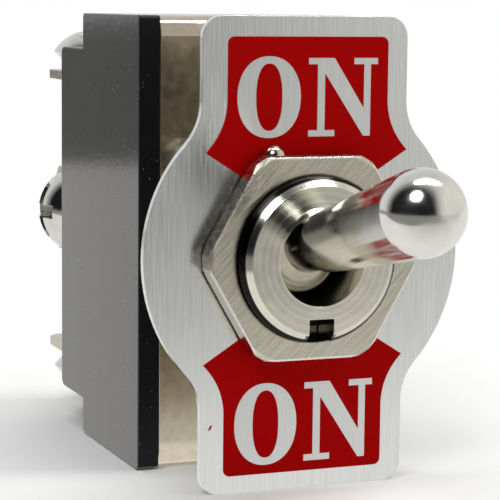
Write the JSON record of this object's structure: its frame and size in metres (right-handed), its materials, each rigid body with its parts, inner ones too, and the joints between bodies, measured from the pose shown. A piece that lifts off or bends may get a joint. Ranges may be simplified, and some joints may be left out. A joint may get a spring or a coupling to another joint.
{
  "type": "toggle switch",
  "caption": "Heavy-duty double-pole panel toggle switch with a bat lever, threaded bushing, legend plate and screw terminals.",
  "frame": {"origin": "on the bushing's axis at the front face of the bracket, where a panel seats", "axes": "-Y along the bushing towards the lever, +Z towards the upper terminals, +X across the two poles"},
  "size_m": [0.0244, 0.0588, 0.0342],
  "materials": {
    "moulding": "satin",
    "nickel_sheet": "polished",
    "nickel": "polished",
    "nut_nickel": "brushed",
    "lever_nickel": "polished",
    "screw_nickel": "polished",
    "terminal_plate": "satin",
    "legend_aluminium": "brushed",
    "liner": "matte",
    "insulator": "matte",
    "brass": "satin",
    "copper": "satin",
    "silver": "satin",
    "steel": "satin"
  },
  "bodies": {
    "base": {"housing": "moulding", "bracket": "nickel_sheet", "insulating_liner": "liner", "bushing": "nickel", "pivot_pin": "steel", "fixed_contacts_left": "silver", "fixed_contacts_right": "silver", "terminal_upper_left": "terminal_plate", "terminal_centre_left": "terminal_plate", "terminal_lower_left": "terminal_plate", "terminal_upper_right": "terminal_plate", "terminal_centre_right": "terminal_plate", "terminal_lower_right": "terminal_plate", "terminal_screws": "screw_nickel", "legend_plate": "legend_aluminium", "locking_ring": "nickel_sheet", "front_nut": "nut_nickel", "back_nut": "nut_nickel", "lock_washer": "steel"},
    "handle": {"lever": "lever_nickel", "actuator": "insulator", "spring_left": "steel", "spring_right": "steel"},
    "plunger_l": {"plunger_left": "brass"},
    "plunger_r": {"plunger_right": "brass"},
    "rocker_l": {"rocker_left": "copper", "rocker_contacts_left": "silver"},
    "rocker_r": {"rocker_right": "copper", "rocker_contacts_right": "silver"}
  },
  "joints": [
    {"name": "lever_throw", "type": "hinge", "parent": "base", "child": "handle", "pos_m": [0, -0.0066, 0], "axis": [1, 0, 0], "range_deg": [0, 27.4]},
    {"name": "rocker_left_turn", "type": "hinge", "parent": "base", "child": "rocker_l", "pos_m": [-0.0045, 0.0152, 0], "axis": [1, 0, 0], "range_deg": [-13, 0]},
    {"name": "rocker_right_turn", "type": "hinge", "parent": "base", "child": "rocker_r", "pos_m": [0.0045, 0.0152, 0], "axis": [1, 0, 0], "range_deg": [-13, 0]},
    {"name": "plunger_left_slide", "type": "slide", "parent": "handle", "child": "plunger_l", "axis": [0, -0.9715, 0.2368], "range_m": [0, 0.0012], "stiffness_N_per_m": 100, "springref_m": -0.002, "deforming": ["spring_left"]},
    {"name": "plunger_right_slide", "type": "slide", "parent": "handle", "child": "plunger_r", "axis": [0, -0.9715, 0.2368], "range_m": [0, 0.0012], "stiffness_N_per_m": 100, "springref_m": -0.002, "deforming": ["spring_right"]}
  ],
  "couplings": [
    {"joint": "rocker_left_turn", "follows": "lever_throw", "ratio": -0.4744},
    {"joint": "rocker_right_turn", "follows": "lever_throw", "ratio": -0.4744}
  ]
}
